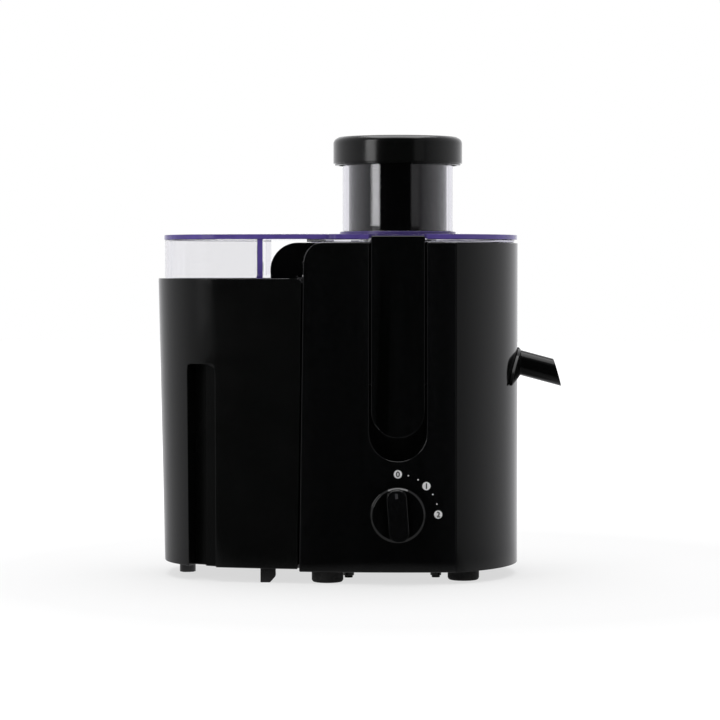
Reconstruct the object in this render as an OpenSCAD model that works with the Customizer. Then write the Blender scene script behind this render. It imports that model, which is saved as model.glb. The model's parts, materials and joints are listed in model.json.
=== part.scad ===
// Compact centrifugal juicer.
// Millimetres. The motor shaft stands on the Z axis and the counter is z = 0.
// -Y is the front, +X is the side with the juice spout and -X the side with the pulp container.

/* [Body] */
// Radius of the round motor housing
body_r = 89.5; // [87:0.5:92]
// Distance from the shaft to the front
front_y = 80.5; // [79:0.5:82]
// Radius of the gentle curve across the front and the back
front_r = 600; // [500:50:900]
// Height of the housing's upper edge
body_top = 246; // [244:1:248]
// Wall thickness of the moulded shells
wall = 2.5; // [2:0.25:3]
// Height of the feet under the housing
foot_h = 8.5; // [8:0.5:10]

/* [Lid and pusher] */
// Thickness of the clear lid
lid_t = 3.6; // [3:0.2:4]
// Outer radius of the feed chute
chute_r = 41.1; // [40.5:0.1:41.5]
// Wall thickness of the feed chute
chute_wall = 3.6; // [3:0.1:4]
// Height of the chute's upper edge
chute_top = 311.5; // [305:0.5:320]
// Radius of the pusher
pusher_r = 36.6; // [36:0.1:36.8]
// Radius of the pusher's cap
cap_r = 48; // [46:0.5:50]

/* [Pulp container] */
// Farthest reach of the container to the left
bin_left = 178; // [170:1:185]
// Radius of the container's outer corners
bin_corner_r = 60; // [50:1:62]
// Height of the container's mouth
bin_top = 220; // [215:1:221]
// Height of the container's floor above the counter
bin_bottom = 10.4; // [10:0.2:12]

/* [Latches] */
// Width of a latch arm
latch_w = 38.8; // [36:0.2:40]
// Height of the latch arm's lower end
latch_low = 105.2; // [102:0.2:108]
// Height of the latch's pivot
latch_pivot_z = 143; // [140:1:146]
// Radius of the latch's pivot pin
latch_pin_r = 1.5; // [1.25:0.25:1.75]

/* [Knob and spout] */
// Height of the knob's axis
knob_z = 50.5; // [48:0.5:53]
// Radius of the knob
knob_r = 19.8; // [18:0.2:21]
// Height of the spout's axis where it leaves the housing
spout_z = 157.5; // [155:0.5:160]
// Downward slope of the spout in degrees
spout_slope = 15; // [10:1:18]
// Outer radius of the spout
spout_r = 9.1; // [8.5:0.1:9.5]

/* [Hidden] */
$fn = 96;
eps = 0.01;
gap = 0.3;

// Body
body_low = foot_h;
panel_t = 2.5;
seam_top_x = -68;
seam_low_x = -71.2;
seam_tilt = atan((seam_top_x - seam_low_x) / (body_top - body_low));
panel_corner_r = 14;
crease_y = ((pow(body_r, 2) - pow(front_r, 2)) / (front_r - front_y) + front_r - front_y) / 2;
crease_x = sqrt(pow(body_r, 2) - pow(crease_y, 2));
deck_low = 131;
deck_top = 134;
deck_hole_r = 17;
boss_low = 125;
pulp_cut_z = 221;
pulp_cut_x = 56;
knob_bush_r = 5;
cord_z = 30;
cord_hole_r = 6.5;
foot_r = 11.5;
centre_foot_r = 5.5;
base_t = 3;
screw_seat_z = 2.2;
base_screw_r = 1.7;
foot_stem_r = 3;
foot_spots = [[-51, -62], [48, -48], [-51, 56], [48, 48], [0, 0]];

// Latch pocket
pocket_gap = 1.3;
pocket_drop = 16.5;
pocket_depth = 8.2;
pocket_deep = 15;
pocket_step_z = deck_top - 2;
pocket_wall = 1.8;
latch_t = 4.2;
latch_top = 250.7;
latch_barrel_r = 3.2;
latch_pivot_y = front_y - 4.6;
ledge_top = 248.9;
hook_reach = 2.1;
plunger_z = latch_pivot_z - 28;
plunger_r = 2.5;

// Dial
knob_rest = 4;
dial_r = 29;

// Lid
lid_low = 248.4;
lid_high = lid_low + lid_t;
cover_inset = 4.4;
skirt_low = 213.5;
skirt_t = 2.4;
chute_low = 181;
chute_bore_r = chute_r - chute_wall;
chute_foot_r = chute_r + 2.2;
weld_gap = 0.05;

// Pusher
pusher_low = 183;
pusher_foot_h = 8;
pusher_top = 316;
pusher_wall = 2.5;
cap_low = 304;
cap_top = 324.5;
cap_edge_r = 4.5;

// Container
bin_corner_x = -bin_left + bin_corner_r;
bin_corner_y = sqrt(pow(front_r - bin_corner_r, 2) - pow(bin_corner_x, 2)) - (front_r - front_y);
bin_side_r = body_r + 3;
bin_inner_wall_z = 207;
bin_inner_wall_y = front_y - 11;
bin_edge_r = 3.5;
bin_tangent_a = asin(-bin_corner_x / (front_r - bin_corner_r));
bin_lean = 1.2;
bin_seam_gap = 1.2;
grip_w = 23;
grip_depth = 9;
grip_step = 3.5;
grip_round = 3;
grip_top = 158;
grip_angle = 62;
bin_foot_r = 6;
bin_side_foot_w = 11;

// Bowl and basket
bowl_r = 69.5;
bowl_t = 2.2;
bowl_low = 135.3;
bowl_floor = 146;
bowl_flange_z = 222.5;
bowl_rim_r = 84;
ramp_x = 92.5;
ramp_y = 58.4;
ramp_cheek_r = 20;
ramp_cheek_low = 217;
ramp_skirt_w = 19.5;
basket_low = 168;
basket_top = 232;
basket_low_r = 47;
basket_top_r = 62;
hub_r = 17;
hub_low = 150;
coupling_r = 11.6;
coupling_low = 140;
outlet_r = 9;
outlet_bore_r = 7;
outlet_x = 85.2;

// Spout
spout_plug_x = 85.5;
spout_plug_r = 11;
spout_tube_l = 39;
spout_tube_x = 88;
spout_flange_t = 2.1;
spout_lip_x = 122.2;
spout_lip_z = 139.4;
spout_mouth_lean = 16;
flange_top_r = 40;
flange_top_z = spout_z - 30;
flange_low_r = 95.9;
flange_low_z = spout_z - 104.5;

// Motor
shaft_r = 4;
stator_low = 49;
stator_top = 89;
stator_r = 32;
armature_r = 18.2;
ear_r = 38;
ear_low = 112;
ear_t = 4;
damper_t = 9;
motor_screw_r = 1.6;
shaft_low = 17;
shaft_l = 142;
bearing_r = 8;
upper_bearing_z = 110.5;
lower_bearing_z = 31.5;
lower_arm_z = 33;
brush_z = 98;

// ---- shared outlines ----

// Points on an arc about a centre, with angles measured from -Y towards -X
function arc_points(centre, r, from, to, steps) =
    [for (i = [0 : steps]) let (a = from + (to - from) * i / steps)
        centre + r * [-sin(a), -cos(a)]];

module curved_front(grow) {
    translate([0, front_r - front_y])
        circle(r = front_r + grow, $fn = 720);
}

module curved_back(grow) {
    translate([0, front_y - front_r])
        circle(r = front_r + grow, $fn = 720);
}

// Cheek that carries the front out to the seam beside the pulp container
module cheek(inset, low, high) {
    difference() {
        translate([seam_low_x, -front_y, low])
            cube([-seam_low_x, front_y - 50, high - low]);
        translate([seam_top_x + inset, 0, body_top])
            rotate([0, seam_tilt, 0])
                translate([-60, -100, -300])
                    cube([60, 100, 400]);
    }
}

module body_solid(inset, front_inset, low, high) {
    intersection() {
        translate([0, 0, low])
            linear_extrude(high - low)
                intersection() {
                    curved_front(-front_inset);
                    curved_back(-inset);
                }
        union() {
            translate([0, 0, low])
                cylinder(r = body_r - inset, h = high - low);
            cheek(inset, low, high);
        }
    }
}

// Round-ended upright outline, low end at low_z, drawn in X and Z and extruded from y0 to y1
module upright(width, low_z, high_z, y0, y1) {
    translate([0, y1, 0])
        rotate([90, 0, 0])
            linear_extrude(y1 - y0)
                union() {
                    translate([0, low_z + width / 2])
                        circle(d = width);
                    translate([-width / 2, low_z + width / 2])
                        square([width, high_z - low_z - width / 2]);
                }
}

module pocket_outline(grow, y0, y1, high_z) {
    upright(latch_w + 2 * pocket_gap + 2 * grow, latch_low - pocket_drop - grow, high_z, y0, y1);
}

// Rounds off the front's upper corner beside the pulp cover
module corner_cut() {
    difference() {
        translate([seam_top_x - 30, -front_y - 1, body_top - panel_corner_r])
            cube([30 + panel_corner_r, 34, panel_corner_r + 10]);
        translate([seam_top_x + panel_corner_r, -front_y - 2, body_top - panel_corner_r])
            rotate([-90, 0, 0])
                cylinder(r = panel_corner_r, h = 40);
    }
}

// Places of the motor's four corners at one height
module motor_corners(z) {
    for (a = [45 : 90 : 315])
        rotate(a) translate([ear_r, 0, z]) children();
}

// ---- housing ----

// Outer form of a latch pocket: an upper, shallow part and a lower, deep part
module latch_pocket_block() {
    back_y = -front_y + pocket_wall;
    pocket_outline(pocket_wall, -front_y - 1, back_y + pocket_depth, body_top + 1);
    pocket_outline(pocket_wall, -front_y - 1, back_y + pocket_deep, pocket_step_z + pocket_wall);
}

module latch_pocket_void() {
    pocket_outline(0, -front_y - 2, -front_y + pocket_depth, body_top + 2);
    pocket_outline(0, -front_y - 2, -front_y + pocket_deep, pocket_step_z);
    // seats of the pivot pin
    translate([-24, -latch_pivot_y, latch_pivot_z])
        rotate([0, 90, 0])
            cylinder(r = latch_pin_r, h = 48);
}

module front_and_back() {
    children();
    mirror([0, 1, 0]) children();
}

module housing() {
    color([0.05, 0.05, 0.055])
        difference() {
            body_solid(0, 0, body_low, body_top);
            translate([0, 0, body_low - 1]) linear_extrude(body_top) panel_strip();
            translate([0, 0, -eps])
                body_solid(wall, panel_t + wall, body_low, body_top + 1);
            // opening towards the pulp container
            translate([-120, -front_y + 8.5, pulp_cut_z])
                cube([120 - pulp_cut_x, 2 * (front_y - 8.5), 60]);
            corner_cut();
            front_and_back() latch_pocket_block();
            // knob bush and spout
            translate([0, -front_y + 10, knob_z])
                rotate([90, 0, 0]) cylinder(r = knob_bush_r, h = 20);
            translate([body_r - 6, 0, spout_z])
                rotate([0, 90, 0]) cylinder(r = spout_plug_r + gap, h = 12);
            // cord inlet
            translate([0, front_y - 10, cord_z])
                rotate([-90, 0, 0]) cylinder(r = cord_hole_r, h = 20);
        }
}

module latch_pockets() {
    color([0.05, 0.05, 0.055])
        difference() {
            intersection() {
                body_solid(0, panel_t, body_low, body_top);
                front_and_back() latch_pocket_block();
            }
            front_and_back() latch_pocket_void();
            translate([0, -front_y + 20, plunger_z])
                rotate([90, 0, 0]) cylinder(r = plunger_r + 0.1, h = 20);
        }
}

// Deck over the motor, with the bosses that the motor hangs from
module motor_deck() {
    color([0.05, 0.05, 0.055])
        difference() {
            union() {
                intersection() {
                    body_solid(wall, panel_t + wall, deck_low, deck_top);
                    translate([0, 0, deck_low]) cylinder(r = body_r, h = deck_top - deck_low);
                }
                motor_corners(boss_low) cylinder(r = 5, h = deck_low - boss_low + eps);
            }
            translate([0, 0, deck_low - 1]) cylinder(r = deck_hole_r, h = 6);
            motor_corners(boss_low - 1) cylinder(r = motor_screw_r, h = 8.5);
            front_and_back() latch_pocket_block();
        }
}

// ---- glossy front ----

// Plan of the strip across the front, from the seam to the crease, that the glossy panel fills
module panel_strip() {
    difference() {
        translate([-100, -front_y - 1]) square([100 + crease_x, 30]);
        curved_front(-panel_t);
    }
}

module front_panel() {
    color([0.02, 0.02, 0.02])
        difference() {
            intersection() {
                body_solid(0, 0, body_low, body_top);
                translate([0, 0, body_low]) linear_extrude(body_top - body_low) panel_strip();
            }
            corner_cut();
            pocket_outline(0, -front_y - 1, -front_y + 4, body_top + 1);
            translate([0, -front_y + 5, knob_z])
                rotate([90, 0, 0]) cylinder(r = knob_bush_r + 0.2, h = 10);
        }
}

// ---- base ----

module screw_boss_places() {
    for (p = [[-36, -42], [28, -40], [-36, 42], [28, 40]])
        translate(p) children();
}

module foot_places() {
    for (p = foot_spots)
        translate(p) children();
}

module base_plate() {
    color([0.06, 0.06, 0.06])
        difference() {
            union() {
                body_solid(wall + 0.2, panel_t + wall + 0.2, body_low, body_low + base_t);
                screw_boss_places()
                    translate([0, 0, screw_seat_z]) cylinder(r = 4, h = 14);
                foot_places()
                    translate([0, 0, body_low]) cylinder(r = 5, h = 6);
            }
            // air inlet slots below the fan
            for (y = [8 : 8 : 24], side = [-1, 1])
                translate([-22, side * y - 1.75, body_low - 1]) cube([44, 3.5, 6]);
            screw_boss_places()
                translate([0, 0, 1]) cylinder(r = base_screw_r, h = 16);
            foot_places()
                translate([0, 0, body_low - 1]) cylinder(r = foot_stem_r, h = 4.5);
        }
}

// Foot with a chamfered sole and a stem that is pressed into the base plate
module foot(r) {
    cylinder(r1 = r - 1, r2 = r, h = 1.5);
    translate([0, 0, 1.5]) cylinder(r = r, h = body_low - 1.5);
    translate([0, 0, body_low - eps]) cylinder(r = foot_stem_r, h = 3.4);
}

// Four feet at the corners, and a small one in the middle that steadies the plate
module rubber_feet() {
    color([0.03, 0.03, 0.03])
        union() {
            for (p = [0 : 3]) translate(foot_spots[p]) foot(foot_r);
            foot(centre_foot_r);
        }
}

module base_screws() {
    color([0.6, 0.6, 0.62])
        screw_boss_places()
            difference() {
                union() {
                    translate([0, 0, screw_seat_z - 1.5]) cylinder(r = 3, h = 1.5);
                    translate([0, 0, screw_seat_z - eps]) cylinder(r = base_screw_r, h = 13);
                }
                for (a = [0, 90])
                    rotate(a) translate([-2, -0.35, 0]) cube([4, 0.7, 1.4]);
            }
}

// ---- latches ----

module latch_arm() {
    difference() {
        union() {
            intersection() {
                upright(latch_w, latch_low, latch_top, -front_y - 1, -front_y + latch_t);
                translate([0, 0, latch_low - 1])
                    linear_extrude(latch_top - latch_low + 2) curved_front(0);
            }
            // lip that hooks over the lid's ledge
            translate([-16, -front_y + latch_t - eps, ledge_top + gap])
                cube([32, hook_reach, latch_top - ledge_top - gap]);
            // pivot barrel and the web that joins it to the arm
            translate([-17, -latch_pivot_y, latch_pivot_z])
                rotate([0, 90, 0]) cylinder(r = latch_barrel_r, h = 34);
        }
        translate([-25, -latch_pivot_y, latch_pivot_z])
            rotate([0, 90, 0]) cylinder(r = latch_pin_r + 0.06, h = 50);
    }
}

module front_latch() {
    color([0.02, 0.02, 0.02]) latch_arm();
}

module rear_latch() {
    color([0.02, 0.02, 0.02]) mirror([0, 1, 0]) latch_arm();
}

module latch_pins() {
    color([0.7, 0.7, 0.72])
        for (side = [-1, 1])
            translate([-22.5, side * latch_pivot_y, latch_pivot_z])
                rotate([0, 90, 0]) cylinder(r = latch_pin_r, h = 45);
}

// ---- speed control ----

// Points of an upright bar with rounded corners
function bar_outline(w, l, r) =
    let (x = w / 2 - r, y = l / 2 - r)
        concat(
            arc_points([-x, -y], r, 0, 90, 8), arc_points([-x, y], r, 90, 180, 8),
            arc_points([x, y], r, 180, 270, 8), arc_points([x, -y], r, 270, 360, 8));

module speed_knob() {
    color([0.02, 0.02, 0.02])
        translate([0, -front_y - 0.4, knob_z])
            rotate([90, 0, 0])
                difference() {
                    union() {
                        cylinder(r = knob_r, h = 5);
                        translate([0, 0, 5 - eps]) cylinder(r1 = knob_r, r2 = knob_r - 1.5, h = 1.5);
                        // grip bar with rounded ends, just short of its zero mark
                        rotate(knob_rest) linear_extrude(16) polygon(bar_outline(14, 37, 6));
                    }
                    // bore for the switch shaft
                    translate([0, 0, -1]) cylinder(r = 3, h = 11);
                }
}

module switch_shaft() {
    color([0.75, 0.75, 0.77])
        translate([0, -front_y + 18, knob_z])
            rotate([90, 0, 0]) cylinder(r = 3, h = 28);
}

module rotary_switch() {
    color([0.12, 0.12, 0.13])
        difference() {
            union() {
                translate([-14, -front_y + panel_t + wall + 0.4, knob_z - 14]) cube([28, 15, 28]);
                translate([0, -front_y + panel_t + wall + 1, knob_z])
                    rotate([90, 0, 0]) cylinder(r = 4.9, h = 5.6);
                for (x = [-8, 0, 8])
                    translate([x - 2.4, -front_y + 20 - eps, knob_z - 10]) cube([4.8, 8, 0.8]);
            }
            translate([0, -front_y + 19, knob_z])
                rotate([90, 0, 0]) cylinder(r = 3.05, h = 30);
        }
}

module dial_marks() {
    color([0.95, 0.95, 0.95])
        intersection() {
            union() {
                for (a = [0 : 15 : 90])
                    translate([dial_r * sin(a), -front_y - 0.5, knob_z + dial_r * cos(a)])
                        rotate([-90, 0, 0]) cylinder(r = a % 45 == 0 ? 2.95 : 0.5, h = 3);
            }
            linear_extrude(120)
                difference() {
                    curved_front(0.1);
                    curved_front(0);
                }
        }
}

// ---- interlock ----

module interlock_switch() {
    color([0.55, 0.1, 0.08])
        translate([-10, -front_y + 25.5, latch_pivot_z - 33]) cube([20, 8, 11]);
}

module interlock_plunger() {
    color([0.85, 0.85, 0.82])
        translate([0, -front_y + latch_t + gap, plunger_z])
            rotate([-90, 0, 0]) cylinder(r = plunger_r, h = 13.5);
}

// ---- spout ----

// Bar along the spout's slope, from a little before the point where it leaves the plug
module spout_bar(r, before, length) {
    translate([spout_tube_x, 0, spout_z + 0.5])
        rotate([0, 90 + spout_slope, 0])
            translate([0, 0, -before]) cylinder(r = r, h = before + length);
}

// Leans the spout's mouth, so that its lower lip reaches furthest out
module spout_mouth() {
    translate([spout_lip_x, -20, spout_lip_z])
        rotate([0, -spout_mouth_lean, 0])
            translate([0, 0, -20]) cube([30, 40, 70]);
}

module juice_spout() {
    color([0.02, 0.02, 0.025])
        difference() {
            union() {
                // plug in the housing's wall
                translate([spout_plug_x, 0, spout_z])
                    rotate([0, 90, 0]) cylinder(r = spout_plug_r, h = 5.5);
                // crescent flange against the round wall
                intersection() {
                    difference() {
                        cylinder(r = body_r + gap + spout_flange_t, h = 200);
                        translate([0, 0, -1]) cylinder(r = body_r + gap, h = 202);
                    }
                    translate([60, 0, 0])
                        rotate([90, 0, 90])
                            linear_extrude(40)
                                difference() {
                                    translate([0, flange_top_z]) circle(r = flange_top_r);
                                    translate([0, flange_low_z]) circle(r = flange_low_r);
                                }
                }
                intersection() {
                    spout_bar(spout_r, 10, spout_tube_l);
                    translate([spout_tube_x, -20, 100]) cube([60, 40, 80]);
                }
            }
            translate([spout_plug_x - 1.5, 0, spout_z])
                rotate([0, 90, 0]) cylinder(r = outlet_bore_r, h = 6);
            spout_bar(spout_r - 2, 6, spout_tube_l + 4);
            spout_mouth();
        }
}

// ---- pulp container ----

// Front half of the container's outline, from the housing's side round to the far left
function bin_front_points(grow, right_x) =
    concat(
        arc_points([0, front_r - front_y], front_r + grow,
            asin(-right_x / (front_r + grow)), bin_tangent_a, 8),
        arc_points([bin_corner_x, -bin_corner_y], bin_corner_r + grow, bin_tangent_a, 90, 30));

function mirrored(points) =
    [for (i = [len(points) - 1 : -1 : 0]) [points[i][0], -points[i][1]]];

// Plan of the container at its mouth, grown outwards by the given amount
module bin_plan(grow, right_x) {
    front = bin_front_points(grow, right_x);
    polygon(concat(front, mirrored(front)));
}

// The container's solid between two heights: it leans in towards the floor on the left, and on
// the right it follows the housing and the slanted seam
module bin_block(grow, low, high) {
    intersection() {
        translate([-200, -100, low]) cube([200, 200, high - low]);
        difference() {
            translate([-bin_left, 0, bin_top])
                rotate([0, -bin_lean, 0])
                    translate([bin_left, 0, -bin_top - 10])
                        linear_extrude(bin_top + 30) bin_plan(grow, -50);
            cylinder(r = bin_side_r - grow, h = 300);
            translate([seam_top_x - bin_seam_gap + grow, 0, body_top])
                rotate([0, seam_tilt, 0])
                    translate([0, -100, -300])
                        cube([60, 200, 400]);
        }
    }
}

// Upright groove for the fingers in the front left corner: the fingers go round the step in it
module grip_block(grow) {
    low = bin_bottom - 5;
    high = grip_top + grow;
    left = -grip_w / 2 - grow;
    right = grip_w / 2 + grow;
    round_left = arc_points([left + grip_round, high - grip_round], grip_round, 90, 180, 6);
    round_right = arc_points([right - grip_round, high - grip_round], grip_round, 180, 270, 6);
    translate([bin_corner_x + 3, -bin_corner_y, 0])
        rotate(-180 + grip_angle) {
            translate([bin_corner_r - 3 - grip_depth - grow, 0, 0])
                rotate([90, 0, 90])
                    linear_extrude(grip_depth + 12)
                        polygon(concat([[grow, low], [left, low]], round_left, [[grow, high]]));
            translate([bin_corner_r - 3 - grip_step - grow, 0, 0])
                rotate([90, 0, 90])
                    linear_extrude(grip_step + 12)
                        polygon(concat([[right, low], [-eps, low], [-eps, high]], round_right));
        }
}

// Takes off the mouth's upper corners beside the seam
module bin_edge_cut() {
    edge_x = seam_top_x - bin_seam_gap - (body_top - bin_top) * tan(seam_tilt);
    difference() {
        translate([edge_x - bin_edge_r, -100, bin_top - bin_edge_r]) cube([10, 200, 10]);
        translate([edge_x - bin_edge_r + 0.1, -101, bin_top - bin_edge_r])
            rotate([-90, 0, 0]) cylinder(r = bin_edge_r, h = 202);
    }
}

// Wedge foot, cut back on the side of the housing
module side_foot_shape() {
    half = bin_side_foot_w / 2;
    top = bin_bottom + 1;
    polygon([[-half, 0], [half - 4, 0], [half, 4.5], [half, top], [-half, top]]);
}

module pulp_container() {
    color([0.05, 0.05, 0.055])
        difference() {
            union() {
                bin_block(0, bin_bottom, bin_top);
                // feet
                translate([-157.5, 0, 0]) cylinder(r = bin_foot_r, h = bin_bottom + 1);
                for (side = [-1, 1])
                    translate([-94, side * 64 + 5, 0])
                        rotate([90, 0, 0]) linear_extrude(10) side_foot_shape();
            }
            difference() {
                bin_block(-wall, bin_bottom + wall, bin_top + 1);
                grip_block(wall);
            }
            grip_block(0);
            bin_edge_cut();
            // lower wall on the side that faces the housing
            translate([-96, -bin_inner_wall_y, bin_inner_wall_z])
                cube([40, 2 * bin_inner_wall_y, 40]);
        }
}

// ---- lid ----

module lid_plan(grow) {
    intersection() {
        circle(r = body_r - 0.5 + grow);
        curved_front(grow - 1.5);
        curved_back(grow - 1.5);
    }
    bin_plan(grow - cover_inset, -40);
}

module lid() {
    color([0.75, 0.7, 0.9, 0.4])
        difference() {
            union() {
                // plate, with the small bead that it stands on
                translate([0, 0, lid_low]) linear_extrude(lid_t) lid_plan(0);
                translate([0, 0, body_top + gap])
                    linear_extrude(lid_low - body_top - gap + eps)
                        difference() {
                            intersection() {
                                circle(r = body_r - 2.5);
                                curved_front(-4);
                                curved_back(-4);
                            }
                            circle(r = bowl_rim_r - 9);
                            translate([-100, -ramp_y + 2]) square([60, 2 * ramp_y - 4]);
                        }
                // skirt of the pulp cover, down inside the container's mouth
                translate([0, 0, skirt_low])
                    linear_extrude(lid_low - skirt_low + eps)
                        intersection() {
                            difference() {
                                bin_plan(-cover_inset - 0.5, -60);
                                bin_plan(-cover_inset - 0.5 - skirt_t, -50);
                            }
                            translate([-200, -100]) square([200 - 97.5, 200]);
                        }
                // thick posts that end the skirt
                for (side = [-1, 1])
                    translate([-101.5, side * 63.2 - 4, skirt_low + 9])
                        cube([4, 8, lid_low - skirt_low - 9 + eps]);
            }
            translate([0, 0, body_top]) cylinder(r = chute_r + weld_gap, h = 12);
            // notches that leave the ledges for the latches
            for (side = [-1, 1]) {
                translate([-latch_w / 2 - 1.4, side * (front_y - 2) - 4.4, ledge_top])
                    cube([latch_w + 2.8, 8.8, 12]);
                translate([-latch_w / 2 - 1.4, side * (front_y - latch_t - gap + 4) - 4, body_top])
                    cube([latch_w + 2.8, 8, 12]);
            }
        }
}

// Round chute, welded into the lid, with a foot ring on the plate
module feed_chute() {
    color([0.75, 0.7, 0.9, 0.4])
        difference() {
            union() {
                translate([0, 0, chute_low]) cylinder(r = chute_r, h = chute_top - chute_low);
                translate([0, 0, lid_high]) cylinder(r = chute_foot_r, h = 2.6);
            }
            translate([0, 0, chute_low - 1]) cylinder(r = chute_bore_r, h = chute_top - chute_low + 2);
        }
}

// ---- pusher ----

module pusher() {
    tube_low = pusher_low + pusher_foot_h;
    color([0.02, 0.02, 0.02])
        difference() {
            union() {
                translate([0, 0, pusher_low])
                    cylinder(r1 = pusher_r - 1.5, r2 = pusher_r, h = pusher_foot_h);
                translate([0, 0, tube_low - eps]) cylinder(r = pusher_r, h = pusher_top - tube_low);
            }
            translate([0, 0, pusher_low + 3]) cylinder(r = pusher_r - pusher_wall, h = 140);
        }
}

module pusher_cap() {
    round_z = cap_top - cap_edge_r;
    color([0.02, 0.02, 0.02])
        rotate_extrude()
            difference() {
                union() {
                    // rim, flat top and rounded upper edge
                    translate([0, cap_low + 1.4]) square([cap_r, round_z - cap_low - 1.4]);
                    translate([0, cap_low]) square([cap_r - 1.2, 4]);
                    translate([0, round_z - eps]) square([cap_r - 3.5, cap_edge_r]);
                    translate([cap_r - cap_edge_r, round_z]) circle(r = cap_edge_r);
                }
                // groove inside the rim, and the seat of the pusher
                translate([cap_r - 15, cap_low - 1]) square([11, 9]);
                translate([-1, cap_low - 1]) square([pusher_r + 1 + eps, 13]);
            }
}

// ---- bowl and basket ----

module bowl_section() {
    // wall, floor, inner chimney and standing ring
    translate([bowl_r - bowl_t, bowl_floor]) square([bowl_t, bowl_flange_z + 2.5 - bowl_floor]);
    translate([19.5, bowl_floor]) square([bowl_r - 19.5, 2.5]);
    translate([19.5, bowl_floor]) square([2.2, 18]);
    translate([60, bowl_low]) square([3, bowl_floor - bowl_low + eps]);
}

// Round rim, flattened where the housing is
module bowl_rim_plan(grow) {
    intersection() {
        circle(r = bowl_rim_r + grow);
        curved_front(grow - 6.5);
        curved_back(grow - 6.5);
    }
}

module juice_bowl() {
    color([0.03, 0.03, 0.035])
        difference() {
            union() {
                rotate_extrude() bowl_section();
                // outlet stub
                translate([bowl_r - 3, 0, spout_z])
                    rotate([0, 90, 0]) cylinder(r = outlet_r, h = outlet_x - bowl_r + 3);
            }
            translate([bowl_r - 8, 0, spout_z])
                rotate([0, 90, 0]) cylinder(r = outlet_bore_r, h = 30);
        }
}

// Flange and rim under the lid, welded round the bowl's mouth, with the ramp for the pulp
module bowl_collar() {
    color([0.03, 0.03, 0.035])
        difference() {
            union() {
                translate([0, 0, bowl_flange_z]) linear_extrude(2.5) bowl_rim_plan(0);
                translate([0, 0, bowl_flange_z])
                    linear_extrude(body_top - bowl_flange_z)
                        difference() {
                            bowl_rim_plan(0);
                            bowl_rim_plan(-bowl_t);
                            translate([-100, -ramp_y + 1]) square([50, 2 * ramp_y - 2]);
                        }
                pulp_ramp();
            }
            translate([0, 0, bowl_flange_z - 1]) cylinder(r = bowl_r + weld_gap, h = 40);
            for (side = [-1, 1])
                translate([-23.5, side * (front_y - 1) - 10, bowl_flange_z - 1]) cube([47, 20, 40]);
        }
}

// Ramp that carries the pulp over the container's lower wall. The cheek each side is rounded
// above, and reaches a little into the container's mouth
module pulp_ramp() {
    intersection() {
        union() {
            translate([-ramp_x, -ramp_y, bowl_flange_z]) cube([ramp_x - 50, 2 * ramp_y, 2.5]);
            for (side = [-1, 1])
                translate([-ramp_x, side * (ramp_y - 1.2) - 1.2, bowl_flange_z]) {
                    cube([ramp_x - 58, 2.4, body_top - bowl_flange_z]);
                    translate([0, 0, ramp_cheek_low - bowl_flange_z])
                        cube([ramp_skirt_w, 2.4, bowl_flange_z - ramp_cheek_low + 1]);
                }
        }
        union() {
            translate([-ramp_x + ramp_cheek_r, -80, body_top - ramp_cheek_r])
                rotate([-90, 0, 0]) cylinder(r = ramp_cheek_r, h = 160);
            translate([-ramp_x + ramp_cheek_r, -80, ramp_cheek_low - 2])
                cube([60, 160, body_top - ramp_cheek_low + 2]);
            translate([-ramp_x + 0.15, -80, ramp_cheek_low - 1])
                cube([ramp_cheek_r, 160, body_top - ramp_cheek_r - ramp_cheek_low + 1]);
        }
    }
}

module filter_basket() {
    color([0.75, 0.76, 0.78])
        rotate_extrude()
            union() {
                polygon([[basket_low_r - 0.6, basket_low], [basket_low_r, basket_low],
                    [basket_top_r, basket_top], [basket_top_r - 0.6, basket_top]]);
                translate([hub_r - 4, basket_low]) square([basket_low_r - hub_r + 3.6, 0.8]);
            }
}

module cutter_disc() {
    color([0.8, 0.81, 0.82])
        union() {
            translate([0, 0, basket_low + 0.8])
                difference() {
                    cylinder(r = 44, h = 1);
                    translate([0, 0, -1]) cylinder(r = 3.2, h = 3);
                }
            // rasp teeth in spiral rows
            for (row = [0 : 11], k = [0 : 3])
                rotate(row * 30 + k * 6)
                    translate([13 + k * 9, 0, basket_low + 1.8 - eps])
                        cylinder(r1 = 1.3, r2 = 0.3, h = 1.8, $fn = 16);
        }
}

module basket_hub() {
    color([0.85, 0.85, 0.85])
        difference() {
            union() {
                translate([0, 0, hub_low]) cylinder(r = hub_r, h = basket_low - hub_low);
                translate([0, 0, basket_low - eps]) cylinder(r = hub_r - 4, h = 0.8);
                translate([0, 0, basket_low]) cylinder(r = 3.2, h = 5);
            }
            // socket for the drive coupling
            translate([0, 0, hub_low - 1]) coupling_shape(gap, 15.4);
        }
}

module basket_rim() {
    color([0.85, 0.85, 0.85])
        rotate_extrude()
            translate([basket_top_r - 1.4, basket_top]) square([6.4, 5.5]);
}

// ---- drive ----

// Round core with six splines
module coupling_shape(grow, height) {
    cylinder(r = coupling_r - 2 + grow, h = height);
    for (a = [0 : 60 : 300])
        rotate(a) translate([coupling_r - 2.5, 0, 0]) cylinder(r = 2.2 + grow, h = height);
}

module drive_coupling() {
    color([0.9, 0.9, 0.88])
        difference() {
            translate([0, 0, coupling_low]) coupling_shape(0, 24);
            translate([0, 0, coupling_low - 1]) cylinder(r = shaft_r, h = 20);
        }
}

module shaft_seal() {
    color([0.1, 0.1, 0.1])
        rotate_extrude()
            union() {
                translate([shaft_r + 0.08, deck_low + 1]) square([deck_hole_r - shaft_r - 0.08, 2]);
                translate([shaft_r + 0.08, deck_low + 3 - eps]) square([2, 3.5]);
                translate([deck_hole_r - 2, deck_top]) square([4, 1]);
            }
}

// ---- motor ----

module motor_shaft() {
    color([0.75, 0.75, 0.77])
        translate([0, 0, shaft_low]) cylinder(r = shaft_r, h = shaft_l);
}

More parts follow.
